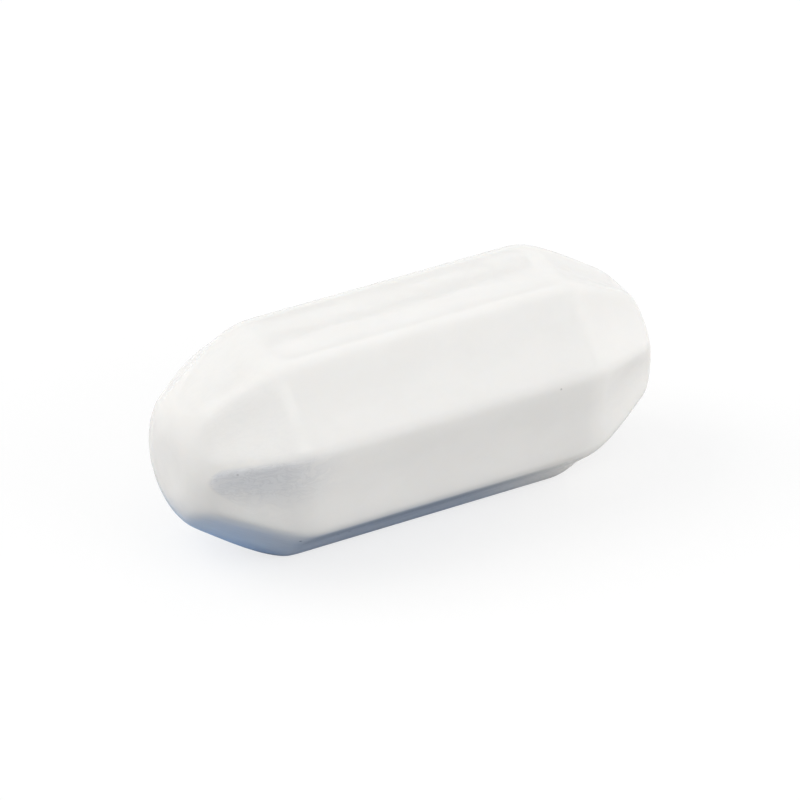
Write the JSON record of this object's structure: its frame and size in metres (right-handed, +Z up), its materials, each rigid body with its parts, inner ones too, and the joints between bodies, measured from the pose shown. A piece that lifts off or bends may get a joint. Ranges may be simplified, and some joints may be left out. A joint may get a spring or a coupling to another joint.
{
  "type": "magnetic stir bar",
  "caption": "Stubby octagonal stir bar: a rod magnet sealed in a white PTFE jacket with hollow sides, soft ridges and hollow end facets.",
  "frame": {"origin": "on the resting plane, below the middle of the bar", "axes": "+X along the bar, +Y across it, +Z up, square to the side that it lies on"},
  "size_m": [0.015, 0.0064, 0.0064],
  "materials": {
    "ptfe": "white moulded PTFE, waxy satin with faint mould marks",
    "magnet": "ground cast Alnico, sealed inside the jacket"
  },
  "bodies": {
    "root": {"ptfe_jacket": "ptfe", "bar_magnet": "magnet"}
  },
  "joints": []
}
